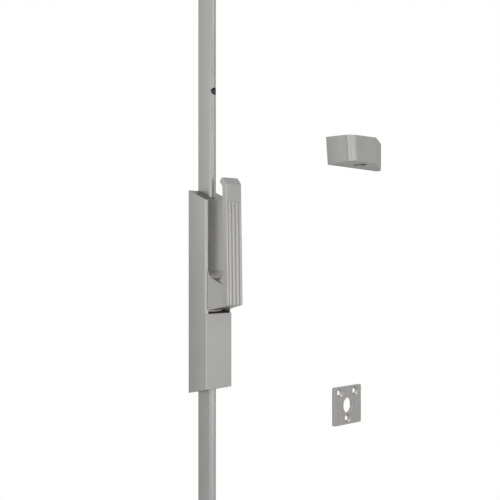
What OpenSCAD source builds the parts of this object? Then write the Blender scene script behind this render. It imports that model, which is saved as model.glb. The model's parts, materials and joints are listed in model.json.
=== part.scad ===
// Surface-mounted cremone bolt with a lever, two bolt rods, a top keeper and a floor plate.
// The door face is the plane y = 0, the room is towards -y, and +z is up.
// "Depth" below always means the distance in front of the door face.

/* [Case] */
// Width of the case
case_w = 31; // [30:0.5:34]
// Depth of the case in front of the door face
case_d = 23; // [22.5:0.25:26]
// Height of the case along the door face
case_h = 180; // [172:1:200]
// Thickness of the case's side walls
side_wall = 2.6; // [2:0.1:3]
// Thickness of the case's front wall
front_wall = 2.5; // [2:0.1:3]
// Thickness of the case's two end walls
end_wall = 3.5; // [3:0.1:5]
// Angle at which the top of the case falls towards the front
top_fall = 22; // [10:1:26]
// Angle at which the bottom of the case rises towards the front
bottom_rise = 12.6; // [5:0.2:20]
// Rounding of the front's long edges above the lever's root
upper_edge_r = 3; // [1:0.5:4]
// Rounding of the front's long edges on the block below the lever
lower_edge_r = 0.8; // [0.4:0.2:2]
// Height of the lower block's top edge
block_top_z = -19; // [-22:0.5:-16]

/* [Lever] */
// Width of the lever's arm
arm_w = 18.3; // [16:0.1:20]
// Thickness of the lever's arm
arm_t = 5; // [4:0.1:6]
// Depth of the lever's front face at its foot
arm_front = 44; // [40:0.5:48]
// Angle at which the arm leans back towards the door
arm_lean = 1.1; // [0.5:0.1:2]
// Height of the top of the lever
arm_top_z = 100; // [90:1:110]
// How far the slanted top falls from back to front
top_slant = 6; // [4:0.5:8]
// How far the hook at the top reaches behind the arm
hook_reach = 3.2; // [2:0.1:4]
// Height of the bottom of the finger gap
gap_floor_z = 11; // [10:0.5:16]
// Depth of the lever's underside above its back edge, at the front
foot_rise = 4.5; // [3:0.5:6]
// Width of the lever's root where it meets the case
root_w = 28; // [27:0.5:29]
// Number of finger grooves
grooves = 4; // [2:1:5]
// Distance between groove centres
groove_pitch = 4.25; // [4:0.05:4.4]
// Width of a groove on the lever's face
groove_w = 3.2; // [2.4:0.1:3.4]
// Depth of a groove
groove_depth = 0.7; // [0.4:0.1:1]
// Height of the plain band above the grooves
groove_band = 14; // [10:1:20]

/* [Hinge and gearing] */
// Distance of the hinge axis behind the front of the case
hinge_inset = 5; // [4.8:0.1:5.5]
// Distance of the hinge axis below the lower block's top edge
hinge_drop = 2; // [1.8:0.1:2.4]
// Diameter of the hinge pin
hinge_pin_d = 4; // [3:0.1:4.4]
// Outer radius of the lever's hub
hub_r = 3.3; // [3.1:0.05:3.5]
// Module of all the teeth
tooth_module = 1; // [0.9:0.05:1.05]
// Tooth count of the full circle that the lever's gear sector belongs to
sector_teeth = 20; // [18:1:20]
// Tooth count of the reversing pinion
pinion_teeth = 12; // [10:2:12]
// Thickness of the gear sector
sector_t = 9; // [6:0.5:10]
// Thickness of the pinion
pinion_t = 4.2; // [3.5:0.1:4.4]
// Height of the pinion's axis
pinion_z = 18; // [16:0.5:22]
// Diameter of the pinion's shaft
shaft_d = 4; // [3:0.1:4.5]
// Angle that the lever swings from shut to open
lever_swing = 85; // [70:1:85]

/* [Rods] */
// Width of the rod
rod_w = 8; // [7:0.2:8.4]
// Depth of the rod, from the door face to its round nose
rod_d = 17; // [15:0.25:17.5]
// Height of the top end of the upper bolt, and depth of the lower bolt's end below the centre
reach = 450; // [300:5:1200]
// Diameter of the turned bolt tips
tip_d = 10; // [9:0.5:11]
// Length of a bolt tip beyond its rod
tip_len = 22; // [18:1:40]
// Diameter of the hole in the upper rod
rod_hole_d = 6.5; // [4:0.5:6.5]
// Height of the hole in the upper rod
rod_hole_z = 178; // [150:1:260]

/* [Back plate and screws] */
// Thickness of the back plate
plate_t = 2; // [1.5:0.1:2.2]
// Core diameter of the four tapped holes for the door screws
door_screw_core = 4.2; // [3.3:0.1:4.4]
// Distance between the door screws across the case
door_screw_dx = 17.8; // [17.6:0.1:18.2]
// Distance from each end of the case to its door screws
door_screw_inset = 24; // [23:0.5:26]
// Diameter of the small screws that hold the back plate
plate_screw_d = 3; // [2.5:0.1:3.2]

/* [Top keeper] */
// Width of the keeper at its back
keeper_w = 93; // [86:1:105]
// Width of the keeper's front face, up to where the slanted right side starts
keeper_front_w = 41; // [39:1:48]
// Depth of the keeper
keeper_d = 33; // [31:0.5:38]
// Height of the keeper at its left back edge
keeper_h = 28.4; // [27:0.2:36]
// Rounding of the keeper's left front corner
keeper_r = 9; // [6:0.5:10]
// Rounding of the corner where the front meets the slanted right side
keeper_small_r = 3; // [2:0.5:4]
// Rounding of the keeper's lower right corner, seen from the front
keeper_lower_r = 8; // [5:0.5:9]
// How far the left end leans in towards its lower edge
keeper_draft = 2.8; // [1:0.1:3]
// How far the keeper's underside rises towards the front
keeper_rise = 2.7; // [1:0.1:3]
// How far the keeper's underside falls towards the right
keeper_fall = 2.4; // [1:0.1:3]
// Wall thickness of the keeper
keeper_wall = 3; // [2.5:0.1:3.5]
// Diameter of the keeper's hole for the bolt tip
keeper_hole_d = 14; // [12:0.5:14]
// Distance of that hole from the keeper's left end
keeper_hole_x = 33.5; // [32:0.5:35]
// Depth of that hole's axis
keeper_hole_depth = 18; // [15:0.5:18]
// Place of the keeper's upper left back corner, to the right of the case's centre line
keeper_x = 172; // [60:0.1:300]
// Height of the keeper's top
keeper_top_z = 153.3; // [50:0.1:250]

/* [Floor plate] */
// Width of the floor plate
floor_w = 44; // [40:0.5:60]
// Height of the floor plate as it stands in the set
floor_h = 40; // [40:0.5:60]
// Thickness of the floor plate
floor_t = 3; // [2.8:0.1:5]
// Width of the obround hole for the bolt tip
floor_slot_w = 14; // [11:0.5:15]
// Height of the obround hole for the bolt tip
floor_slot_h = 16; // [15.5:0.5:17]
// Diameter of the three screw holes
floor_screw_d = 5; // [3.5:0.1:5]
// Distance between the two upper screw holes
floor_screw_dx = 25; // [23:0.5:28]
// Distance from the upper screw holes to the lower one
floor_screw_dz = 27.5; // [26:0.5:28]
// Place of the floor plate's centre, to the right of the case's centre line
floor_x = 203.8; // [60:0.1:300]
// Height of the floor plate's centre
floor_z = -125.7; // [-250:0.1:-50]

/* [Hidden] */

$fn = 48;

// Clearances
pin_gap = 0.05;        // radial gap of a pin in its bore
run_gap = 0.3;         // gap between pieces that slide past each other
seat_gap = 0.15;       // gap of a piece dropped into its seat
backlash = 0.2;        // taken off the thickness of each tooth at the pitch line
cut = 1;               // how far a cutting shape runs past what it cuts

// Colours
painted = [0.66, 0.66, 0.65];
bare_steel = [0.55, 0.54, 0.52];
nylon = [0.2, 0.2, 0.21];

// Inside of the case
in_x = case_w / 2 - side_wall;
in_d = case_d - front_wall;

// Hinge axis
hinge_d = case_d - hinge_inset;
hinge_z = block_top_z - hinge_drop;

// Teeth
pressure_angle = 20;
tooth_pitch = PI * tooth_module;
sector_r = tooth_module * sector_teeth / 2;
pinion_r = tooth_module * pinion_teeth / 2;
tip_height = tooth_module;
root_depth = 1.25 * tooth_module;
side_tip_height = 0.65 * tooth_module;
tooth_sink = 0.5;
sector_from = 150;
sector_to = 276;
travel = sector_r * lever_swing * PI / 180;
pitch_d = hinge_d - sector_r;

// Racks: bars beside the pinion, a toothed block behind the hinge, and tongues for the rods
bar_t = 4.7;
rack_back = plate_t + run_gap;
bar_front = rack_back + bar_t;
rack_x = in_x - run_gap;
bar_x = pinion_r + root_depth;
engaged = 5;
teeth_above = 8;
teeth_below = 9.2;
block_top = hinge_z + teeth_above;
block_bottom = hinge_z - travel - teeth_below;
tongue_w = 3.9;
tongue_front = 13;
tongue_len = 16;
link_len = 5;
lower_tongue_top = block_bottom - link_len;
jog_rise = 26;
jog_h = 7;
upper_jog_z = pinion_z + jog_rise;
upper_tongue_bottom = upper_jog_z + jog_h;

// Rods: each ends inside the case in a fork that straddles its rack's tongue
nose_r = rod_w / 2;
nose_d = rod_d - nose_r;
fork_start = 2;
upper_rod_end = upper_tongue_bottom + fork_start;
lower_rod_end = lower_tongue_top - fork_start;
fork_len = tongue_len + 1;
fork_gap = 0.1;
coupling_d = 4;
coupling_depth = 8;
coupling_from_tongue = 9;
upper_coupling_z = upper_tongue_bottom + coupling_from_tongue;
lower_coupling_z = lower_tongue_top - coupling_from_tongue;
pin_recess = 0.1;
rod_len_end = reach - tip_len;
tip_depth = rod_d / 2;
tip_chamfer = 2;
shank_d = 5;
shank_len = 15;
shank_end_gap = 0.5;
tip_pin_d = 2.5;

// Lever: its shelf clears the block's top edge as it swings over it
swing_gap = 0.4;
shelf_z = hinge_z + hinge_inset + swing_gap;
shelf_rise = 0.1;
root_back = case_d + run_gap;
root_corner_z = shelf_z + shelf_rise;
foot_front_z = root_corner_z + foot_rise;
foot_slope = foot_rise / (arm_front - root_back);
foot_r = 2.2;
arm_edge_r = 1.2;
root_fall = 4.6;
root_start = -115;
root_inset = 0.3;
hook_h = 9.2;
inner_h = 26;
inner_front = root_back + swing_gap;
inner_top_z = hinge_z + inner_h;
window_gap = 3;
window_top_z = inner_top_z + window_gap;
washer_t = 1.3;
lug_x = in_x - washer_t - 2 * seat_gap;
hinge_blind = 1.3;
hinge_recess = 0.4;
gear_gap = 0.2;
slot_x = sector_t / 2 + gear_gap;
neck_reach = 4.2;
neck_back = hinge_d - neck_reach;
neck_front = hinge_d - hinge_drop - run_gap;
dowel_d = 3;
dowel_rise = 9;
dowel_depth = hinge_d + gear_gap;
dowel_z = hinge_z + dowel_rise;
head_r = 3.4;
gear_head_top = dowel_z + head_r;
gear_head_front = dowel_depth + head_r;

// Bosses, guides and ribs inside the case: the guides lie between the two kinds of boss
door_screw_dz = case_h - 2 * door_screw_inset;
door_boss_r = 4.1;
plate_boss_r = 3.4;
guide_h = 4;
guide_z = door_screw_dz / 2 + door_boss_r + run_gap;
boss_overlap = 0.1;
plate_screw_x = in_x - plate_boss_r + boss_overlap;
plate_screw_z = guide_z + guide_h + run_gap + plate_boss_r;
screw_len = 9;
screw_head_d = 2 * plate_screw_d - 0.4;
screw_key = 1.6;
screw_key_depth = 0.9;
door_bore_end = 3;
rib_depth = 4.7;
rib_w = 4.4;
rib_h = 4;
rib_drop = 6;
rib_rise = 10;

// Back plate: forked at both ends, so that the rods lie on the door
plate_end_gap = 1.1;
plate_fork = nose_r + 0.4;
plate_fork_end = travel + 1.2;
plate_door_hole = door_screw_core + 1.3;
plate_hole = plate_screw_d + 0.4;

// Pinion's shaft and clip
clip_at = rack_back + pinion_t + 0.5;
clip_slot = 0.7;
clip_t = 0.6;
clip_gap = 0.05;
clip_neck = shaft_d - 0.8;
clip_ring = shaft_d + 3.4;
clip_mouth = 0.36 * shaft_d;
shaft_end = clip_at + 1.6;

// Keeper
slant = atan(keeper_d / (keeper_w - keeper_front_w));
keeper_bottom = keeper_top_z - keeper_h;
keeper_boss_top = keeper_bottom + 11;
keeper_boss_wall = 3;
keeper_inner_r = 0.5;
keeper_screw_x = [12, 62];
keeper_screw_z = keeper_top_z - 13;
keeper_screw_depth = 14;
keeper_screw_boss_d = 9;

function arc(cx, cy, r, from, to, steps) =
    [for (i = [0:steps]) let (a = from + (to - from) * i / steps) [cx + r * cos(a), cy + r * sin(a)]];

// Depth of the lever's front face at height z
function arm_face(z) = arm_front - (z - foot_front_z) * tan(arm_lean);

// Height of the lever's underside at a depth
function underside(depth) = root_corner_z + (depth - root_back) * foot_slope;

function involute(a) = tan(a) * 180 / PI - a;

// Lays a drawing made in (depth, height) across the width of the case
module across(width) {
    rotate([90, 0, -90])
        translate([0, 0, -width / 2])
            linear_extrude(width)
                children();
}

// Puts a cylinder's axis across the case, at a depth and a height
module cross_pin(d, depth, z, x_from, x_to) {
    translate([x_from, -depth, z])
        rotate([0, 90, 0])
            cylinder(d = d, h = x_to - x_from);
}

// A cylinder that runs straight out of the door face, from one depth to another
module outward(d, x, z, from, to) {
    translate([x, -from, z])
        rotate([90, 0, 0])
            cylinder(d = d, h = to - from);
}

// Block given by its ranges of x, depth and z
module block(x, depth, z) {
    translate([x[0], -depth[1], z[0]])
        cube([x[1] - x[0], depth[1] - depth[0], z[1] - z[0]]);
}

// One involute tooth and its share of the gear's body, pointing along +x
module gear_tooth(teeth, tip) {
    r = tooth_module * teeth / 2;
    base = r * cos(pressure_angle);
    low = max(base, r - root_depth);
    high = r + tip;
    half = (tooth_pitch / 2 - backlash / 2) / 2 / r * 180 / PI;
    steps = 5;
    flank = [for (i = [0:steps])
        let (q = low + (high - low) * i / steps)
        [q, half + involute(pressure_angle) - involute(acos(base / q))]];
    root = r - root_depth;
    inner = root - tooth_module;
    polygon(concat(
        [[inner * cos(flank[0][1]), -inner * sin(flank[0][1])]],
        [for (p = flank) [p[0] * cos(p[1]), -p[0] * sin(p[1])]],
        [for (i = [0:steps]) let (p = flank[steps - i]) [p[0] * cos(p[1]), p[0] * sin(p[1])]],
        [[inner * cos(flank[0][1]), inner * sin(flank[0][1])]]));
}

// One straight-sided rack tooth, pointing along +x from the rack's root line at x = 0
module rack_tooth(tip) {
    half = (tooth_pitch / 2 - backlash / 2) / 2;
    lean = tan(pressure_angle);
    polygon([
        [-tooth_sink, -half - root_depth * lean],
        [0, -half - root_depth * lean],
        [root_depth + tip, -half + tip * lean],
        [root_depth + tip, half - tip * lean],
        [0, half + root_depth * lean],
        [-tooth_sink, half + root_depth * lean]]);
}

// Outline of a case section, with its two front edges rounded
module case_section(r) {
    w = case_w / 2;
    polygon(concat(
        [[-w, 0]],
        arc(-w + r, -case_d + r, r, 180, 270, 8),
        arc(w - r, -case_d + r, r, 270, 360, 8),
        [[w, 0]]));
}

// Side outline of the case or, with an inset, of the room inside it
module case_side(front, ends) {
    top = case_h / 2 - ends;
    polygon([
        [-cut, top + cut * tan(top_fall)],
        [front, top - front * tan(top_fall)],
        [front, -top + front * tan(bottom_rise)],
        [-cut, -top - cut * tan(bottom_rise)]]);
}

// Cross-section of a rod, grown by a gap: flat back, flat sides, round nose
module rod_section(gap) {
    r = nose_r + gap;
    polygon(concat(
        [[-r, gap > 0 ? cut : 0]],
        arc(0, -nose_d, r, 180, 360, 16),
        [[r, gap > 0 ? cut : 0]]));
}

module door_screw_places() {
    for (x = [-1, 1], z = [-1, 1])
        translate([x * door_screw_dx / 2, 0, z * door_screw_dz / 2])
            rotate([90, 0, 0])
                children();
}

module plate_screw_places() {
    for (x = [-1, 1], z = [-1, 1])
        translate([x * plate_screw_x, 0, z * plate_screw_z])
            rotate([90, 0, 0])
                children();
}

module case() {
    color(painted)
        difference() {
            union() {
                difference() {
                    intersection() {
                        union() {
                            translate([0, 0, block_top_z])
                                linear_extrude(case_h)
                                    case_section(upper_edge_r);
                            translate([0, 0, block_top_z - case_h])
                                linear_extrude(case_h)
                                    case_section(lower_edge_r);
                        }
                        across(case_w + 2 * cut)
                            case_side(case_d + cut, 0);
                    }
                    across(2 * in_x)
                        case_side(in_d, end_wall);
                }
                // Bosses for the door screws and for the back plate's screws
                intersection() {
                    union() {
                        door_screw_places()
                            translate([0, 0, plate_t])
                                cylinder(r = door_boss_r, h = in_d - plate_t + cut);
                        plate_screw_places()
                            translate([0, 0, plate_t])
                                cylinder(r = plate_boss_r, h = in_d - plate_t + cut);
                    }
                    block([-in_x - cut, in_x + cut], [0, in_d + cut], [-case_h / 2, case_h / 2]);
                }
                // Ribs that keep the racks down on the back plate
                block([-in_x - cut, -in_x + rib_w], [bar_front + run_gap, bar_front + rib_depth],
                    [pinion_z - rib_drop, pinion_z - rib_drop + rib_h]);
                block([in_x - rib_w, in_x + cut], [bar_front + run_gap, bar_front + rib_depth],
                    [pinion_z + rib_rise, pinion_z + rib_rise + rib_h]);
            }
            // Slots in both ends for the rods
            translate([0, 0, -case_h])
                linear_extrude(2 * case_h)
                    rod_section(run_gap);
            // Window behind the lever's root, down to the lower block's top edge
            block([-in_x, in_x], [in_d - cut, case_d + cut], [block_top_z, window_top_z]);
            // Room for the hub behind the lower block's top edge
            cross_pin(2 * (hub_r + gear_gap), hinge_d, hinge_z, -in_x, in_x);
            // Hinge pin bore: blind in the left wall, through the right one
            cross_pin(hinge_pin_d + 2 * pin_gap, hinge_d, hinge_z, -in_x - hinge_blind,
                case_w / 2 + cut);
            door_screw_places()
                cylinder(d = door_screw_core, h = in_d - door_bore_end);
            plate_screw_places()
                cylinder(d = plate_screw_d + 2 * pin_gap, h = screw_len + cut);
        }
}

module back_plate() {
    half_w = in_x - seat_gap;
    half_h = case_h / 2 - end_wall - plate_end_gap;
    color(bare_steel)
        difference() {
            block([-half_w, half_w], [0, plate_t], [-half_h, half_h]);
            block([-plate_fork, plate_fork], [-cut, plate_t + cut],
                [upper_rod_end - plate_fork_end, case_h]);
            block([-plate_fork, plate_fork], [-cut, plate_t + cut],
                [-case_h, lower_rod_end + plate_fork_end]);
            outward(shaft_d + 2 * pin_gap, 0, pinion_z, -cut, plate_t + cut);
            door_screw_places()
                translate([0, 0, -cut])
                    cylinder(d = plate_door_hole, h = plate_t + 2 * cut);
            plate_screw_places() {
                translate([0, 0, -cut])
                    cylinder(d = plate_hole, h = plate_t + 2 * cut);
                translate([0, 0, -cut])
                    cylinder(d1 = screw_head_d + run_gap + 2 * cut, d2 = run_gap,
                        h = screw_head_d / 2 + cut);
            }
        }
}

module plate_screws() {
    color(bare_steel)
        plate_screw_places()
            difference() {
                union() {
                    cylinder(d1 = screw_head_d, d2 = plate_screw_d, h = (screw_head_d - plate_screw_d) / 2);
                    cylinder(d = plate_screw_d, h = screw_len);
                }
                translate([0, 0, -cut])
                    cylinder(d = screw_key, h = cut + screw_key_depth, $fn = 6);
            }
}

// Half-round floor of the finger gap, from its lip at the case to the arm's back
gap_lip = 0.9;
gap_left = root_back + gap_lip;
gap_r = (arm_face(gap_floor_z) - arm_t - gap_left) / 2;
gap_z = gap_floor_z + gap_r;

// Side outline of the lever's arm and root, with the hooked top as a soft S
module lever_side() {
    front_top_z = arm_top_z - top_slant;
    top_back = arm_face(arm_top_z) - arm_t;
    hook_r = hook_reach / 2;
    foot_depth = arm_front - foot_r;
    foot_z = underside(foot_depth) + foot_r / cos(atan(foot_slope));
    polygon(concat(
        [[root_back, root_corner_z]],
        arc(foot_depth, foot_z, foot_r, atan(foot_slope) - 90, -6, 6),
        [[arm_face(foot_z), foot_z]],
        [[arm_face(front_top_z), front_top_z], [top_back, arm_top_z]],
        arc(top_back - hook_reach + hook_r, arm_top_z - hook_reach, hook_r, 120, 200, 5),
        arc(top_back - hook_h / 2, arm_top_z - hook_h, hook_h / 2, 60, 0, 6),
        arc(gap_left + gap_r, gap_z, gap_r, 0, -180, 16),
        [[root_back, gap_z]]));
}

module lever() {
    tilt = arm_lean;
    groove_r = (groove_w * groove_w / 4 + groove_depth * groove_depth) / (2 * groove_depth);
    groove_top_z = arm_top_z - top_slant - groove_band;
    groove_start = 20;
    w = arm_w / 2;
    root_front = arm_face(gap_floor_z) - arm_t;
    color(painted)
        difference() {
            union() {
                // Arm with softened front edges, and the narrow part of the root
                intersection() {
                    across(arm_w)
                        lever_side();
                    translate([0, -arm_front, foot_front_z])
                        rotate([-tilt, 0, 0])
                            translate([0, 0, -arm_front])
                                linear_extrude(2 * arm_top_z)
                                    polygon(concat(
                                        [[-w, arm_front]],
                                        arc(-w + arm_edge_r, arm_edge_r, arm_edge_r, 180, 270, 5),
                                        arc(w - arm_edge_r, arm_edge_r, arm_edge_r, 270, 360, 5),
                                        [[w, arm_front]]));
                }
                // Flared root, nearly as wide as the case where it meets it
                intersection() {
                    across(root_w)
                        polygon(concat(
                            [[root_back, root_corner_z],
                             [root_front, underside(root_front)],
                             [root_front, gap_floor_z - root_fall]],
                            arc(gap_left + gap_r, gap_z, gap_r, root_start, -180, 8),
                            [[root_back, gap_z]]));
                    translate([0, 0, -arm_top_z])
                        linear_extrude(2 * arm_top_z)
                            polygon([
                                [-root_w / 2, -root_back],
                                [-w + root_inset, -root_front],
                                [w - root_inset, -root_front],
                                [root_w / 2, -root_back]]);
                }
                // Inner part that passes through the window and hooks over the lower block
                across(2 * lug_x)
                    polygon([
                        [neck_back, hinge_z],
                        [neck_front, hinge_z],
                        [neck_front, shelf_z],
                        [inner_front, shelf_z + swing_gap],
                        [inner_front, inner_top_z],
                        [neck_back, inner_top_z]]);
                cross_pin(2 * hub_r, hinge_d, hinge_z, -lug_x, lug_x);
            }
            // Slot for the gear sector between the two lugs
            block([-slot_x, slot_x], [neck_back - 2 * cut, gear_head_front + run_gap],
                [hinge_z - hub_r - cut, gear_head_top + run_gap]);
            cross_pin(hinge_pin_d + 2 * pin_gap, hinge_d, hinge_z, -lug_x - cut, lug_x + cut);
            cross_pin(dowel_d + 2 * pin_gap, dowel_depth, dowel_z, -lug_x - cut, lug_x + cut);
            // Finger grooves with rounded upper ends
            for (i = [0:grooves - 1])
                translate([(i - (grooves - 1) / 2) * groove_pitch, -arm_front, foot_front_z])
                    rotate([-tilt, 0, 0])
                        translate([0, -groove_r + groove_depth, -groove_start])
                            rotate_extrude($fn = 32)
                                polygon(concat(
                                    [[0, 0], [groove_r, 0]],
                                    arc(0, groove_top_z - foot_front_z + groove_start - groove_r, groove_r,
                                        0, 90, 4)));
        }
}

module lever_gear() {
    color(bare_steel)
        difference() {
            union() {
                // Rack side of the sector: teeth from just above the mesh to straight down
                across(sector_t)
                    translate([hinge_d, hinge_z])
                        intersection() {
                            union() {
                                circle(r = sector_r - root_depth);
                                for (i = [-1:ceil(lever_swing / 360 * sector_teeth)])
                                    rotate(180 + i * 360 / sector_teeth)
                                        gear_tooth(sector_teeth, tip_height);
                            }
                            polygon(concat([[0, 0]], arc(0, 0, 2 * sector_r, sector_from, sector_to, 8)));
                        }
                cross_pin(2 * hub_r, hinge_d, hinge_z, -sector_t / 2, sector_t / 2);
                // Neck and head that take the dowel
                across(sector_t)
                    polygon([
                        [neck_back, hinge_z],
                        [neck_front, hinge_z],
                        [neck_front, shelf_z],
                        [gear_head_front, shelf_z + swing_gap],
                        [gear_head_front, gear_head_top],
                        [neck_back, gear_head_top]]);
            }
            cross_pin(hinge_pin_d + 2 * pin_gap, hinge_d, hinge_z, -case_w, case_w);
            cross_pin(dowel_d + 2 * pin_gap, dowel_depth, dowel_z, -case_w, case_w);
        }
}

module gear_dowel() {
    color(bare_steel)
        cross_pin(dowel_d, dowel_depth, dowel_z, -lug_x, lug_x);
}

module hinge_pin() {
    color(bare_steel)
        cross_pin(hinge_pin_d, hinge_d, hinge_z, -in_x - hinge_blind + pin_recess,
            case_w / 2 - hinge_recess);
}

module hinge_washers() {
    color(bare_steel)
        for (side = [0, 1])
            mirror([side, 0, 0])
                difference() {
                    cross_pin(2 * hub_r, hinge_d, hinge_z, lug_x + seat_gap, in_x - seat_gap);
                    cross_pin(hinge_pin_d + 2 * pin_gap, hinge_d, hinge_z, 0, in_x + cut);
                }
}

// Teeth along one inner side of a rack, to mesh with the pinion: side is -1 for left, 1 for right
module side_teeth(side, from, to) {
    first = ceil((from - pinion_z) / tooth_pitch - 0.5);
    last = floor((to - pinion_z) / tooth_pitch - 0.5);
    for (i = [first:last])
        translate([side * bar_x, -bar_front, pinion_z + (i + 0.5) * tooth_pitch])
            rotate([-90, 0, 0])
                rotate(side > 0 ? 180 : 0)
                    linear_extrude(bar_front - rack_back)
                        rack_tooth(side_tip_height);
}

module lower_rack() {
    tooth_root = pitch_d - root_depth;
    first = ceil((block_bottom - hinge_z) / tooth_pitch);
    last = floor((block_top - hinge_z) / tooth_pitch) - 1;
    color(bare_steel)
        difference() {
            union() {
                // Wide block whose teeth face the room and mesh with the lever's sector
                block([-rack_x, sector_t / 2], [rack_back, tooth_root], [block_bottom, block_top]);
                across(sector_t)
                    for (i = [first:last])
                        translate([tooth_root, hinge_z + (i + 0.5) * tooth_pitch])
                            rack_tooth(tip_height);
                // Bar that runs up the left side to the pinion
                block([-rack_x, -bar_x], [rack_back, bar_front], [block_top - 1, pinion_z + engaged + 2]);
                side_teeth(-1, pinion_z - travel - engaged, pinion_z + engaged);
                // Tongue for the lower rod's fork
                block([-tongue_w / 2, tongue_w / 2], [rack_back, tooth_root],
                    [lower_tongue_top - 1, block_bottom + 1]);
                block([-tongue_w / 2, tongue_w / 2], [rack_back, tongue_front],
                    [lower_tongue_top - tongue_len, lower_tongue_top]);
            }
            cross_pin(coupling_d + 2 * pin_gap, coupling_depth, lower_coupling_z, -case_w, case_w);
        }
}

module upper_rack() {
    color(bare_steel)
        difference() {
            union() {
                // Bar down the right side to the pinion
                block([bar_x, rack_x], [rack_back, bar_front],
                    [pinion_z - engaged - 1, upper_tongue_bottom]);
                side_teeth(1, pinion_z - engaged, pinion_z + travel + engaged);
                // Jog to the centre, and the tongue for the upper rod's fork
                block([-tongue_w / 2, rack_x], [rack_back, bar_front],
                    [upper_jog_z, upper_tongue_bottom]);
                block([-tongue_w / 2, tongue_w / 2], [rack_back, tongue_front],
                    [upper_tongue_bottom, upper_tongue_bottom + tongue_len]);
            }
            cross_pin(coupling_d + 2 * pin_gap, coupling_depth, upper_coupling_z, -case_w, case_w);
        }
}

module pinion() {
    color(bare_steel)
        translate([0, -rack_back - gear_gap, pinion_z])
            rotate([90, 0, 0])
                difference() {
                    linear_extrude(pinion_t)
                        union() {
                            circle(r = pinion_r - root_depth);
                            for (i = [0:pinion_teeth - 1])
                                rotate(i * 360 / pinion_teeth)
                                    gear_tooth(pinion_teeth, tip_height);
                        }
                    translate([0, 0, -cut])
                        cylinder(d = shaft_d + 2 * pin_gap, h = pinion_t + 2 * cut);
                }
}

module pinion_shaft() {
    color(bare_steel)
        difference() {
            outward(shaft_d, 0, pinion_z, 0, shaft_end);
            difference() {
                outward(shaft_d + 2 * cut, 0, pinion_z, clip_at, clip_at + clip_slot);
                outward(clip_neck, 0, pinion_z, clip_at - cut, clip_at + clip_slot + cut);
            }
        }
}

module pinion_clip() {
    color(bare_steel)
        difference() {
            outward(clip_ring, 0, pinion_z, clip_at + clip_gap, clip_at + clip_gap + clip_t);
            outward(clip_neck + 2 * clip_gap, 0, pinion_z, clip_at - cut, clip_at + clip_slot + cut);
            // Mouth through which the clip is pushed on
            block([-clip_mouth, clip_mouth], [clip_at - cut, clip_at + clip_slot + cut],
                [pinion_z - clip_ring, pinion_z]);
        }
}

// A rod, with a fork at its case end and a bore for the tip's shank at its far end
module rod(case_end, far_end, coupling_z) {
    up = far_end > case_end;
    low = min(case_end, far_end);
    fork = up ? [case_end - cut, case_end + fork_len] : [case_end - fork_len, case_end + cut];
    color(painted)
        difference() {
            translate([0, 0, low])
                linear_extrude(abs(far_end - case_end))
                    rod_section(0);
            block([-tongue_w / 2 - fork_gap, tongue_w / 2 + fork_gap], [-cut, rod_d + cut], fork);
            cross_pin(coupling_d + 2 * pin_gap, coupling_depth, coupling_z, -case_w, case_w);
            translate([0, -tip_depth, up ? far_end - shank_len - shank_end_gap : far_end - cut])
                cylinder(d = shank_d + 2 * pin_gap, h = shank_len + shank_end_gap + cut);
            cross_pin(tip_pin_d + 2 * pin_gap, tip_depth, far_end + (up ? -1 : 1) * shank_len / 2,
                -case_w, case_w);
        }
}

module upper_rod() {
    difference() {
        rod(upper_rod_end, rod_len_end, upper_coupling_z);
        outward(rod_hole_d, 0, rod_hole_z, -cut, rod_d + cut);
    }
}

module lower_rod() {
    rod(lower_rod_end, -rod_len_end, lower_coupling_z);
}

module coupling_pin(z) {
    color(bare_steel)
        cross_pin(coupling_d, coupling_depth, z, -rod_w / 2 + pin_recess, rod_w / 2 - pin_recess);
}

module upper_coupling_pin() {
    coupling_pin(upper_coupling_z);
}

module lower_coupling_pin() {
    coupling_pin(lower_coupling_z);
}

// Turned bolt tip standing on the end of its rod, with a shank down into the rod
module tip() {
    color(bare_steel)
        difference() {
            union() {
                translate([0, 0, -shank_len])
                    cylinder(d = shank_d, h = shank_len + cut);
                cylinder(d = tip_d, h = tip_len - tip_chamfer);
                translate([0, 0, tip_len - tip_chamfer])
                    cylinder(d1 = tip_d, d2 = tip_d - 2 * tip_chamfer, h = tip_chamfer);
            }
            rotate([0, 90, 0])
                translate([shank_len / 2, 0, -case_w])
                    cylinder(d = tip_pin_d + 2 * pin_gap, h = 2 * case_w);
        }
}

module upper_tip() {
    translate([0, -tip_depth, rod_len_end])
        tip();
}

module lower_tip() {
    translate([0, -tip_depth, -rod_len_end])
        mirror([0, 0, 1])
            tip();
}

module tip_pin(z) {
    color(bare_steel)
        cross_pin(tip_pin_d, tip_depth, z, -rod_w / 2 + pin_recess, rod_w / 2 - pin_recess);
}

module upper_tip_pin() {
    tip_pin(rod_len_end - shank_len / 2);
}

module lower_tip_pin() {
    tip_pin(-rod_len_end + shank_len / 2);
}

// Plastic guide that straddles a rod inside the end of the case
module guide(z) {
    half_w = in_x - seat_gap;
    color(nylon)
        difference() {
            block([-half_w, half_w], [plate_t + seat_gap, in_d - seat_gap], [z, z + guide_h]);
            translate([0, 0, z - cut])
                linear_extrude(guide_h + 2 * cut)
                    rod_section(seat_gap);
        }
}

module top_guide() {
    guide(guide_z);
}

module bottom_guide() {
    guide(-guide_z - guide_h);
}

// Plan of the keeper's front and its slanted right side, inset by a wall
module keeper_right(inset) {
    back = inset > 0 ? cut : 0;
    r = max(keeper_small_r - inset, keeper_inner_r);
    corner_x = keeper_front_w - inset * tan(slant / 2);
    polygon(concat(
        [[-keeper_w, back], [-keeper_w, -keeper_d + inset]],
        arc(corner_x - r * tan(slant / 2), -keeper_d + inset + r, r, 270, 270 + slant, 6),
        [[keeper_w - inset / sin(slant) + back / tan(slant), back]]));
}

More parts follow.
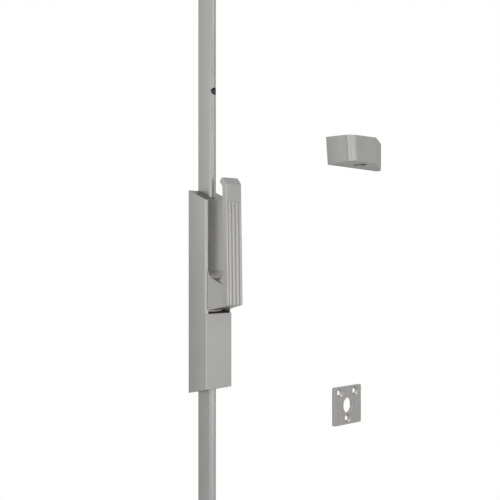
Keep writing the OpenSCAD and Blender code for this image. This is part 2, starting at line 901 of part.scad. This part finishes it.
// Plan of the keeper's left end and its round front corner, inset by a wall
module keeper_left(inset) {
    r = keeper_r - inset;
    polygon(concat(
        [[inset, 2 * cut]],
        arc(keeper_r, -keeper_d + keeper_r, r, 180, 270, 8),
        [[2 * keeper_w, -keeper_d + inset], [2 * keeper_w, 2 * cut]]));
}

// Front view of the keeper with its falling underside and lower right corner, inset by a wall
module keeper_front(inset) {
    fall = atan(keeper_fall / keeper_w);
    r = keeper_lower_r - inset;
    centre_x = keeper_w - keeper_lower_r;
    polygon(concat(
        [[-keeper_w, keeper_w * tan(fall) + inset / cos(fall)]],
        arc(centre_x, keeper_lower_r / cos(fall) - centre_x * tan(fall), r, 270 - fall, 360, 8),
        [[keeper_w - inset, 2 * keeper_h], [-keeper_w, 2 * keeper_h]]));
}

// Outside of the keeper or, with an inset, the room inside it, open towards the frame
module keeper_form(inset) {
    intersection() {
        translate([0, 0, keeper_bottom - keeper_h])
            linear_extrude(2 * keeper_h - inset)
                keeper_right(inset);
        // The left end leans in towards its lower edge
        translate([0, 0, keeper_top_z])
            rotate([0, -atan(keeper_draft / keeper_h), 0])
                translate([0, 0, -2 * keeper_h])
                    linear_extrude(4 * keeper_h)
                        keeper_left(inset);
        // The underside rises towards the front
        translate([0, 0, keeper_bottom])
            rotate([90 - atan(keeper_rise / keeper_d), 0, 0])
                translate([0, 0, -keeper_d])
                    linear_extrude(3 * keeper_d)
                        keeper_front(inset);
    }
}

module keeper() {
    color(painted)
        translate([keeper_x, 0, 0])
            difference() {
                union() {
                    difference() {
                        keeper_form(0);
                        keeper_form(keeper_wall);
                    }
                    // Bosses for the screws and around the hole
                    intersection() {
                        union() {
                            for (x = keeper_screw_x)
                                outward(keeper_screw_boss_d, x, keeper_screw_z, 0, keeper_d);
                            translate([keeper_hole_x, -keeper_hole_depth, keeper_bottom - keeper_wall])
                                cylinder(d = keeper_hole_d + 2 * keeper_boss_wall,
                                    h = keeper_boss_top - keeper_bottom + keeper_wall);
                        }
                        keeper_form(0);
                    }
                }
                translate([keeper_hole_x, -keeper_hole_depth, keeper_bottom - keeper_wall])
                    cylinder(d = keeper_hole_d, h = keeper_boss_top - keeper_bottom + 2 * keeper_wall);
                for (x = keeper_screw_x)
                    outward(door_screw_core, x, keeper_screw_z, -cut, keeper_screw_depth);
            }
}

module floor_plate() {
    r = floor_slot_w / 2;
    straight = (floor_slot_h - floor_slot_w) / 2;
    corner = 2;
    w = floor_w / 2;
    h = floor_h / 2;
    head_d = 1.9 * floor_screw_d;
    screws = [[-floor_screw_dx / 2, floor_screw_dz / 2], [floor_screw_dx / 2, floor_screw_dz / 2],
        [0, -floor_screw_dz / 2]];
    color(bare_steel)
        translate([floor_x, 0, floor_z])
            rotate([90, 0, 0])
                difference() {
                    linear_extrude(floor_t)
                        difference() {
                            polygon(concat(
                                arc(w - corner, h - corner, corner, 0, 90, 4),
                                arc(-w + corner, h - corner, corner, 90, 180, 4),
                                arc(-w + corner, -h + corner, corner, 180, 270, 4),
                                arc(w - corner, -h + corner, corner, 270, 360, 4)));
                            polygon(concat(
                                arc(0, straight, r, 0, 180, 20),
                                arc(0, -straight, r, 180, 360, 20)));
                        }
                    for (p = screws)
                        translate([p[0], p[1], 0]) {
                            translate([0, 0, -cut])
                                cylinder(d = floor_screw_d, h = floor_t + 2 * cut);
                            translate([0, 0, floor_t - head_d / 2])
                                cylinder(d1 = 0, d2 = head_d + 2 * cut, h = head_d / 2 + cut);
                        }
                }
}

case();
back_plate();
plate_screws();
lever();
lever_gear();
gear_dowel();
hinge_pin();
hinge_washers();
lower_rack();
upper_rack();
pinion();
pinion_shaft();
pinion_clip();
upper_rod();
lower_rod();
upper_coupling_pin();
lower_coupling_pin();
upper_tip();
lower_tip();
upper_tip_pin();
lower_tip_pin();
top_guide();
bottom_guide();
keeper();
floor_plate();
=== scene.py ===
# %% [markdown]
# # A cremone bolt, dressed for its picture
#
# The solids of this door bolt come in from the imported model at their real size and place.
# What is left to Blender is how they look: the silver-grey coat on the case, the lever, the
# rods and the keeper, the bare steel of the floor plate and the works, and the black nylon of
# the rod guides. This first cell loads the solids.

# %% Load the solids
import json
import math

import bpy
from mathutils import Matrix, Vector


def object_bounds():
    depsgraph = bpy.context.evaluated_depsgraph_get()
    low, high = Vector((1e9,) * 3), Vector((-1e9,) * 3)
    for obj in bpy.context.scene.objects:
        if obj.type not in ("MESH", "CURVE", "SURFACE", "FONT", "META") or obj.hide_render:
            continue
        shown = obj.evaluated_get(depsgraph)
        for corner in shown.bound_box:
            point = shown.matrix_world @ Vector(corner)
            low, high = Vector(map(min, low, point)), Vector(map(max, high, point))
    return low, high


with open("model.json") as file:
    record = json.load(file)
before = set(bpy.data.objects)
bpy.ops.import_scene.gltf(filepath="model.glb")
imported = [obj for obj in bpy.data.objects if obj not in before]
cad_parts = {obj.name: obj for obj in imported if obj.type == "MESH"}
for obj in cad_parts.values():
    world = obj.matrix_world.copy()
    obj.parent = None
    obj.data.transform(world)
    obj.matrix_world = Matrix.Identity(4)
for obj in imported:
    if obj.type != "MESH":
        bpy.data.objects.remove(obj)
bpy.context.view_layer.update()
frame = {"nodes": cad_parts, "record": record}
nodes = frame["nodes"]


def mm(*values):
    """Millimetres, as read off a drawing, in Blender's metres."""
    return tuple(v / 1000 for v in values)


# %% [markdown]
# ## The camera
#
# The bolt is seen level, from the left front corner at 45 degrees, so that the case shows its
# side and its front equally. The camera stands a little under a metre away. A rather long lens
# keeps the rods nearly parallel, as a product photograph does.

# %% Place the camera
camera_at = mm(-573.8, -635.4, 37)
camera_level = math.radians(90)
camera_turn = math.radians(-45)
lens_mm, sensor_mm = 68.4, 36
farthest_seen = 20

camera_data = bpy.data.cameras.new("picture_camera")
camera_data.sensor_width = sensor_mm
camera_data.lens = lens_mm
camera_data.clip_end = farthest_seen
camera = bpy.data.objects.new("picture_camera", camera_data)
camera.location = camera_at
camera.rotation_euler = (camera_level, 0, camera_turn)
bpy.context.collection.objects.link(camera)
bpy.context.scene.camera = camera
print("camera at", [round(v, 3) for v in camera.location])

# %% [markdown]
# ## Floor and white surroundings
#
# Product pictures are cut out on white. One bright white world would give that at once, but its
# light from all sides would wash out the shades on the bolt. So a helper splits each of the
# surroundings in two. The camera and the reflections see plain white, and all other light meets
# a shader of its own. Most of the metal's brightness comes from the white room it reflects.


# %% White where it is seen, another shader where it lights
def seen_directly(tree):
    """1 for rays that come from the camera, a reflection or a glass, and 0 for all others."""
    path = tree.nodes.new("ShaderNodeLightPath")
    total = path.outputs["Is Camera Ray"]
    for label in ("Is Glossy Ray", "Is Transmission Ray"):
        either = tree.nodes.new("ShaderNodeMath")
        either.operation = "MAXIMUM"
        tree.links.new(total, either.inputs[0])
        tree.links.new(path.outputs[label], either.inputs[1])
        total = either.outputs[0]
    return total


def white_where_seen(tree, lit, white_kind, output_kind):
    """Ends a node tree: plain white where it is seen, and the shader `lit` where it lights."""
    white = tree.nodes.new(white_kind)
    white.inputs["Color"].default_value = (1, 1, 1, 1)
    white.inputs["Strength"].default_value = 1.0
    mix = tree.nodes.new("ShaderNodeMixShader")
    tree.links.new(seen_directly(tree), mix.inputs["Fac"])
    tree.links.new(lit.outputs[0], mix.inputs[1])
    tree.links.new(white.outputs[0], mix.inputs[2])
    out = tree.nodes.new(output_kind)
    tree.links.new(mix.outputs[0], out.inputs["Surface"])


# %% [markdown]
# ### Floor
#
# The floor is a big disc just under the lower rod. The camera sees it as white as the room, so
# its rim doesn't show. To the lamps it is an ordinary matt floor, which gives back soft light
# from below.

# %% Floor
floor_radius = 6.0
floor_below = 0.002
floor_colour = (0.82, 0.82, 0.81, 1)

bpy.ops.mesh.primitive_circle_add(vertices=96, radius=floor_radius, fill_type="NGON")
floor = bpy.context.object
floor.name = "floor"
floor.location.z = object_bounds()[0][2] - floor_below

floor_finish = bpy.data.materials.new("pale_floor")
floor_finish.use_nodes = True
tree = floor_finish.node_tree
tree.nodes.clear()
matt = tree.nodes.new("ShaderNodeBsdfDiffuse")
matt.inputs["Color"].default_value = floor_colour
white_where_seen(tree, matt, "ShaderNodeEmission", "ShaderNodeOutputMaterial")
floor.data.materials.append(floor_finish)
print("floor at z =", round(floor.location.z, 3), "m")

# %% [markdown]
# ### White room
#
# The world is the room around the bolt. Its own light is only a faint cool grey, which lifts the
# darkest shades and leaves the shading of the shapes to the lamps.

# %% White room
room_colour = (0.93, 0.96, 1.0, 1)
room_strength = 0.12

world = bpy.data.worlds.new("white_room")
bpy.context.scene.world = world
world.use_nodes = True
tree = world.node_tree
tree.nodes.clear()
room = tree.nodes.new("ShaderNodeBackground")
room.inputs["Color"].default_value = room_colour
room.inputs["Strength"].default_value = room_strength
white_where_seen(tree, room, "ShaderNodeBackground", "ShaderNodeOutputWorld")
bpy.context.scene.view_settings.view_transform = "Standard"
print("room light:", room_strength)

# %% [markdown]
# ## Soft boxes
#
# In the picture the flat faces are an even grey, the rounded corners shine, and the case lies in
# shade behind the lever. A wide soft box to the left in front makes the corners shine that turn
# towards the camera. Three in front, two low and one high, light the fronts and draw the ridges
# of the lever, which shades the case from them. A weak one lifts the long left side.
#
# Each box stands at the same distance from the bolt, so it is placed by two angles: how far it
# is turned to the right of straight in front, and how high it is raised.


# %% Set the lamps
middle = mm(60, 0, 20)
box_distance = 1.9


def soft_box(name, turned, raised, size, power):
    """A square lamp at two angles in degrees, turned to look at the middle of the bolt."""
    turned, raised = math.radians(turned), math.radians(raised)
    data = bpy.data.lights.new(name, "AREA")
    data.shape = "SQUARE"
    data.size = size
    data.energy = power
    lamp = bpy.data.objects.new(name, data)
    away = Vector((
        math.cos(raised) * math.sin(turned),
        -math.cos(raised) * math.cos(turned),
        math.sin(raised),
    ))
    lamp.location = Vector(middle) + box_distance * away
    lamp.rotation_euler = (-away).to_track_quat("-Z", "Y").to_euler()
    bpy.context.collection.objects.link(lamp)
    return lamp


soft_box("left_front_box", -66, 0, size=1.3, power=5.8)
soft_box("low_front_box", -15, -8, size=0.9, power=4.6)
soft_box("high_front_box", 5, 40, size=0.9, power=9)
soft_box("right_front_box", 25, -8, size=0.9, power=2.6)
soft_box("left_back_box", -125, 15, size=0.9, power=2.0)

# %% [markdown]
# ## Shared effects
#
# Each effect is a node group. It is built once, and every finish that needs it places it with
# its own values. The first two serve two finishes each. The others serve one, and as groups
# they keep that finish short and can be used again:
#
# - `fine_grain` is the tiny unevenness of a surface: a height, and masks for flakes and clouds.
# - `edge_wear_and_highlight` finds the edges, which hands and doors rub bright. On bare steel the
#   brighter edges are partly a painted highlight.
# - `brush_lines` draws the long fine scratches of a brushed sheet along one direction.
# - `recess_shade` darkens narrow grooves and holes, as painted shade where they are closed in.
# - `shade_to_wall` darkens a piece from the front towards the wall, as painted shade.
#
# They give out only masks, heights and normals. The shaders stay in the materials. Four small
# helpers come first, so that each group reads as a short list of steps.


# %% Helpers for node groups
def new_group(name, inputs, outputs):
    """An empty shader group. Inputs are (name, value) and outputs are (name, kind)."""
    group = bpy.data.node_groups.new(name, "ShaderNodeTree")
    for label, value in inputs:
        socket = group.interface.new_socket(label, in_out="INPUT", socket_type="NodeSocketFloat")
        socket.default_value = value
    for label, kind in outputs:
        group.interface.new_socket(label, in_out="OUTPUT", socket_type=kind)
    enter = group.nodes.new("NodeGroupInput")
    leave = group.nodes.new("NodeGroupOutput")
    return group, enter, leave


def math_node(tree, operation, a, b=None, clamp=False):
    """A Math node whose inputs may be numbers or other nodes' outputs."""
    node = tree.nodes.new("ShaderNodeMath")
    node.operation = operation
    node.use_clamp = clamp
    for socket, value in zip(node.inputs, (a, b)):
        if value is None:
            continue
        if isinstance(value, (int, float)):
            socket.default_value = value
        else:
            tree.links.new(value, socket)
    return node.outputs[0]


def noise(tree, vector, scale, detail=2.0, roughness=0.5):
    """A noise texture read at a vector, scale per metre."""
    node = tree.nodes.new("ShaderNodeTexNoise")
    node.inputs["Detail"].default_value = detail
    node.inputs["Roughness"].default_value = roughness
    if isinstance(scale, (int, float)):
        node.inputs["Scale"].default_value = scale
    else:
        tree.links.new(scale, node.inputs["Scale"])
    tree.links.new(vector, node.inputs["Vector"])
    return node.outputs["Fac"]


def spread(tree, value, low, high, new_low=0.0, new_high=1.0):
    """Maps a value from one range to another, held inside it."""
    node = tree.nodes.new("ShaderNodeMapRange")
    tree.links.new(value, node.inputs["Value"])
    node.inputs["From Min"].default_value = low
    node.inputs["From Max"].default_value = high
    node.inputs["To Min"].default_value = new_low
    node.inputs["To Max"].default_value = new_high
    return node.outputs[0]


# %% [markdown]
# ### Grain
#
# A sprayed coat or a moulded piece is never quite smooth. A photographed grain would do, but the
# pieces would have to be unwrapped for it, and close by it would blur. Noise that is read at the
# piece's own coordinates needs neither. One noise is the height, a finer one picks out flakes,
# and a very broad one makes faint clouds.

# %% Grain of a coat or a mould
cloud_scale = 38.0
flakes_per_grain = 2.6

fine_grain, enter, leave = new_group(
    "fine_grain",
    [("Scale", 2600.0)],
    [("Height", "NodeSocketFloat"), ("Flakes", "NodeSocketFloat"), ("Clouds", "NodeSocketFloat")],
)
place = fine_grain.nodes.new("ShaderNodeTexCoord").outputs["Object"]
orange_peel = noise(fine_grain, place, enter.outputs["Scale"], detail=3.0, roughness=0.6)
flake_scale = math_node(fine_grain, "MULTIPLY", enter.outputs["Scale"], flakes_per_grain)
flakes = noise(fine_grain, place, flake_scale, detail=1.0)
clouds = noise(fine_grain, place, cloud_scale, detail=3.0, roughness=0.55)
fine_grain.links.new(orange_peel, leave.inputs["Height"])
fine_grain.links.new(spread(fine_grain, flakes, 0.35, 0.72), leave.inputs["Flakes"])
fine_grain.links.new(spread(fine_grain, clouds, 0.3, 0.7), leave.inputs["Clouds"])
print("group:", fine_grain.name)

# %% [markdown]
# ### Worn edges and painted highlights
#
# Hands and doors rub a finish most where two faces meet. Such a mask could be painted by hand,
# piece by piece. Here a Bevel node finds it: near an edge its rounded normal leans away from the
# true one, and the mask grows as they part. A noise breaks the line up, because wear is patchy.
# On bare steel the brighter colour along the edges is partly a painted highlight.

# %% Wear and painted highlights along the edges
edge_wear_and_highlight, enter, leave = new_group(
    "edge_wear_and_highlight",
    [("Radius", 0.0009), ("Amount", 0.5), ("Break Up", 900.0)],
    [("Mask", "NodeSocketFloat"), ("Soft Normal", "NodeSocketVector")],
)
bevel = edge_wear_and_highlight.nodes.new("ShaderNodeBevel")
bevel.samples = 6
edge_wear_and_highlight.links.new(enter.outputs["Radius"], bevel.inputs["Radius"])
true_normal = edge_wear_and_highlight.nodes.new("ShaderNodeNewGeometry").outputs["Normal"]
agree = edge_wear_and_highlight.nodes.new("ShaderNodeVectorMath")
agree.operation = "DOT_PRODUCT"
edge_wear_and_highlight.links.new(bevel.outputs["Normal"], agree.inputs[0])
edge_wear_and_highlight.links.new(true_normal, agree.inputs[1])
bent = spread(edge_wear_and_highlight, agree.outputs["Value"], low=0.995, high=0.86)
place = edge_wear_and_highlight.nodes.new("ShaderNodeTexCoord").outputs["Object"]
patchy = noise(edge_wear_and_highlight, place, enter.outputs["Break Up"], detail=4.0, roughness=0.65)
broken = math_node(edge_wear_and_highlight, "MULTIPLY", bent, spread(edge_wear_and_highlight, patchy, low=0.38, high=0.62))
mask = math_node(edge_wear_and_highlight, "MULTIPLY", broken, enter.outputs["Amount"], clamp=True)
edge_wear_and_highlight.links.new(mask, leave.inputs["Mask"])
edge_wear_and_highlight.links.new(bevel.outputs["Normal"], leave.inputs["Soft Normal"])
print("group:", edge_wear_and_highlight.name)

# %% [markdown]
# ### Brushed lines
#
# A belt leaves long fine scratches on a sheet, all in one direction. An anisotropic shader gives
# only their stretched shine. A noise that is dense across the sheet and drawn out along its
# height gives the lines themselves, for the colour and for the relief.

# %% Brushed lines along the height
brush_lines, enter, leave = new_group(
    "brush_lines",
    [("Across", 2600.0), ("Along", 30.0)],
    [("Height", "NodeSocketFloat"), ("Streaks", "NodeSocketFloat")],
)
place = brush_lines.nodes.new("ShaderNodeTexCoord").outputs["Object"]
stretch = brush_lines.nodes.new("ShaderNodeVectorMath")
stretch.operation = "MULTIPLY"
factors = brush_lines.nodes.new("ShaderNodeCombineXYZ")
brush_lines.links.new(enter.outputs["Across"], factors.inputs["X"])
brush_lines.links.new(enter.outputs["Across"], factors.inputs["Y"])
brush_lines.links.new(enter.outputs["Along"], factors.inputs["Z"])
brush_lines.links.new(place, stretch.inputs[0])
brush_lines.links.new(factors.outputs[0], stretch.inputs[1])
lines = noise(brush_lines, stretch.outputs[0], scale=1.0, detail=4.0, roughness=0.7)
brush_lines.links.new(lines, leave.inputs["Height"])
brush_lines.links.new(spread(brush_lines, lines, 0.3, 0.7), leave.inputs["Streaks"])
print("group:", brush_lines.name)

# %% [markdown]
# ### Painted shade in grooves and holes
#
# Narrow grooves and holes get a darker colour, which is painted shade. The Ambient Occlusion
# node measures how closed in a point is within a short reach: open faces keep their colour and
# narrow grooves turn darker. That saves painting the mask, and a noise keeps it uneven.

# %% Painted shade in grooves and holes
recess_shade, enter, leave = new_group(
    "recess_shade",
    [("Reach", 0.002), ("Amount", 0.5), ("Break Up", 500.0)],
    [("Mask", "NodeSocketFloat")],
)
nook = recess_shade.nodes.new("ShaderNodeAmbientOcclusion")
nook.samples = 8
recess_shade.links.new(enter.outputs["Reach"], nook.inputs["Distance"])
closed = spread(recess_shade, nook.outputs["AO"], low=0.93, high=0.55)
place = recess_shade.nodes.new("ShaderNodeTexCoord").outputs["Object"]
patchy = noise(recess_shade, place, enter.outputs["Break Up"], detail=3.0, roughness=0.6)
uneven = spread(recess_shade, patchy, low=0.3, high=0.6, new_low=0.75, new_high=1.0)
mask = math_node(recess_shade, "MULTIPLY", closed, uneven)
mask = math_node(recess_shade, "MULTIPLY", mask, enter.outputs["Amount"], clamp=True)
recess_shade.links.new(mask, leave.inputs["Mask"])
print("group:", recess_shade.name)

# %% [markdown]
# ### Painted shade towards the wall
#
# The sides of a piece are darkened towards the wall, as painted shade. The depth of a point,
# from the wall to the front, says how dark: the full colour at the front, darkest at the wall.

# %% Painted shade that darkens towards the wall
shade_to_wall, enter, leave = new_group(
    "shade_to_wall",
    [("Wall", 0.0), ("Front", -0.02), ("Thinnest", 0.85)],
    [("Brightness", "NodeSocketFloat")],
)
place = shade_to_wall.nodes.new("ShaderNodeTexCoord").outputs["Object"]
split = shade_to_wall.nodes.new("ShaderNodeSeparateXYZ")
shade_to_wall.links.new(place, split.inputs[0])
depth = shade_to_wall.nodes.new("ShaderNodeMapRange")
depth.inputs["To Max"].default_value = 1.0
for source, label in (
    (split.outputs["Y"], "Value"),
    (enter.outputs["Wall"], "From Min"),
    (enter.outputs["Front"], "From Max"),
    (enter.outputs["Thinnest"], "To Min"),
):
    shade_to_wall.links.new(source, depth.inputs[label])
shade_to_wall.links.new(depth.outputs[0], leave.inputs["Brightness"])
print("group:", shade_to_wall.name)

# %% [markdown]
# ## Finishes
#
# Every finish is one Principled shader. Its plain values, such as how metallic or how glossy it
# is, sit on the shader itself, and only what changes over the surface comes in through nodes.


# %% A material with helpers to place the groups
def new_finish(name):
    """A material with a bare Principled shader, and a function that places a group in it."""
    material = bpy.data.materials.new(name)
    material.use_nodes = True
    tree = material.node_tree
    tree.nodes.clear()
    shader = tree.nodes.new("ShaderNodeBsdfPrincipled")
    out = tree.nodes.new("ShaderNodeOutputMaterial")
    tree.links.new(shader.outputs[0], out.inputs["Surface"])

    def place_group(group, **values):
        node = tree.nodes.new("ShaderNodeGroup")
        node.node_tree = group
        for label, value in values.items():
            node.inputs[label.replace("_", " ")].default_value = value
        return node

    return material, tree, shader, place_group


def blend_colours(tree, factor, first, second):
    """Mixes two colours, each a tuple or another node's output, by a factor."""
    node = tree.nodes.new("ShaderNodeMix")
    node.data_type = "RGBA"
    tree.links.new(factor, node.inputs["Factor"])
    for socket, value in ((node.inputs["A"], first), (node.inputs["B"], second)):
        if isinstance(value, tuple):
            socket.default_value = value
        else:
            tree.links.new(value, socket)
    return node.outputs["Result"]


def bump(tree, height, distance, strength, normal=None):
    """A Bump node over a height, with its size in metres."""
    node = tree.nodes.new("ShaderNodeBump")
    node.inputs["Distance"].default_value = distance
    node.inputs["Strength"].default_value = strength
    tree.links.new(height, node.inputs["Height"])
    if normal is not None:
        tree.links.new(normal, node.inputs["Normal"])
    return node.outputs["Normal"]


# %% [markdown]
# ### Silver-grey coat
#
# The case, lever, rods and keeper wear one satin coat of silver-grey, full of fine metal flakes.
# A plain grey paint would look chalky, and a polished metal would mirror the room. The shader
# lies between the two: nearly a metal, but with broad reflections that are toned down at the
# rims. Large faint clouds show where the spray was thicker. Towards the wall the colour is
# darkened as painted shade. Edges that hands and doors touch are a shade brighter, and narrow
# grooves and holes, such as the lever's grooves, are darkened as painted shade.

# %% Silver-grey coat
thin_spray = (0.315, 0.314, 0.303, 1)
thick_spray = (0.351, 0.35, 0.338, 1)
metal_flake = (0.423, 0.422, 0.408, 1)
rubbed_coat = (0.5, 0.5, 0.49, 1)
# Dark colour of the painted shade in narrow grooves and holes.
recess_shade_colour = (0.07, 0.068, 0.06, 1)
coat_roughness = (0.33, 0.39)

coat, tree, shader, place_group = new_finish("silver_grey_coat")
grain = place_group(fine_grain, Scale=2400.0)
wear_and_highlight = place_group(edge_wear_and_highlight, Radius=0.0011, Amount=0.3, Break_Up=700.0)
# Painted shade: the colour darkens towards the wall.
wall_shade = place_group(shade_to_wall, Wall=0.0, Front=-0.019, Thinnest=0.84)
# Painted shade: narrow grooves and holes are darkened in the colour.
painted_recess_shade = place_group(recess_shade, Reach=0.0012, Amount=0.35, Break_Up=500.0)

colour = blend_colours(tree, grain.outputs["Clouds"], thin_spray, thick_spray)
colour = blend_colours(tree, grain.outputs["Flakes"], colour, metal_flake)
colour = blend_colours(tree, wear_and_highlight.outputs["Mask"], colour, rubbed_coat)
colour = blend_colours(tree, painted_recess_shade.outputs["Mask"], colour, recess_shade_colour)
# The colour is scaled down by the painted shade towards the wall.
wall_shaded = tree.nodes.new("ShaderNodeVectorMath")
wall_shaded.operation = "SCALE"
tree.links.new(colour, wall_shaded.inputs[0])
tree.links.new(wall_shade.outputs["Brightness"], wall_shaded.inputs["Scale"])
tree.links.new(wall_shaded.outputs[0], shader.inputs["Base Color"])

rough = spread(tree, grain.outputs["Clouds"], 0.0, 1.0, *coat_roughness)
tree.links.new(rough, shader.inputs["Roughness"])
orange_peel = bump(tree, grain.outputs["Height"], distance=0.00004, strength=0.35)
tree.links.new(orange_peel, shader.inputs["Normal"])
shader.inputs["Metallic"].default_value = 0.78
shader.inputs["Specular Tint"].default_value = (0.5, 0.5, 0.5, 1)
shader.inputs["Specular IOR Level"].default_value = 0.3
print("finish:", coat.name)

# %% [markdown]
# ### Bare steel
#
# The floor plate, the bolt tips and the works inside are uncoated steel. The plate was brushed
# along its height, which leaves fine streaks and a darker, warmer grey than the coat. Its bumps
# start from the rounded normal of the worn edges, so that sharp steel edges catch a thin line
# of light without a rounding in the shape. A brighter colour along the edges is partly wear
# and partly a painted highlight.

# %% Bare steel
dark_streak = (0.27, 0.266, 0.253, 1)
light_streak = (0.385, 0.38, 0.366, 1)
# Edge colour of bare steel: partly wear, partly a painted highlight.
rubbed_steel_highlight = (0.62, 0.61, 0.59, 1)
steel_roughness = (0.30, 0.42)

steel, tree, shader, place_group = new_finish("bare_steel")
lines = place_group(brush_lines, Across=2400.0, Along=45.0)
# The edge mask brightens the steel's edges: partly wear, partly a painted highlight.
wear_and_highlight = place_group(edge_wear_and_highlight, Radius=0.0007, Amount=0.9, Break_Up=1200.0)

colour = blend_colours(tree, lines.outputs["Streaks"], dark_streak, light_streak)
colour = blend_colours(tree, wear_and_highlight.outputs["Mask"], colour, rubbed_steel_highlight)
tree.links.new(colour, shader.inputs["Base Color"])

rough = spread(tree, lines.outputs["Streaks"], 0.0, 1.0, *steel_roughness)
tree.links.new(rough, shader.inputs["Roughness"])
rounded = wear_and_highlight.outputs["Soft Normal"]
scratches = bump(tree, lines.outputs["Height"], distance=0.00003, strength=0.4, normal=rounded)
tree.links.new(scratches, shader.inputs["Normal"])
shader.inputs["Metallic"].default_value = 0.85
print("finish:", steel.name)

# %% [markdown]
# ### Black nylon
#
# The two guides that hold the rods inside the case's ends are moulded nylon, dull and faintly
# grained from the mould. The coat's grain serves here too, only coarser and stronger.

# %% Black nylon
deep_black = (0.028, 0.028, 0.03, 1)
soft_black = (0.04, 0.04, 0.043, 1)
nylon_roughness = (0.5, 0.62)

nylon, tree, shader, place_group = new_finish("black_nylon")
grain = place_group(fine_grain, Scale=1500.0)
colour = blend_colours(tree, grain.outputs["Clouds"], deep_black, soft_black)
tree.links.new(colour, shader.inputs["Base Color"])
rough = spread(tree, grain.outputs["Height"], 0.3, 0.7, *nylon_roughness)
tree.links.new(rough, shader.inputs["Roughness"])
mould_grain = bump(tree, grain.outputs["Height"], distance=0.00005, strength=0.5)
tree.links.new(mould_grain, shader.inputs["Normal"])
print("finish:", nylon.name)

# %% [markdown]
# ## Dress the pieces
#
# Each solid keeps its shape and only changes its finish. The record says which of the three
# finishes a piece has, so that no list of names has to be kept here.

# %% Give each piece its finish
finishes = {"painted": coat, "bare_steel": steel, "nylon": nylon}
slot_of = {part["node"]: part["material_slot"] for part in frame["record"]["subparts"]}
for name, piece in nodes.items():
    piece.data.materials.clear()
    piece.data.materials.append(finishes[slot_of[name]])
print("dressed:", len(nodes))

# %% [markdown]
# ## Finish
#
# The scene is brought up to date at the end.

# %% Bring the scene up to date
bpy.context.view_layer.update()
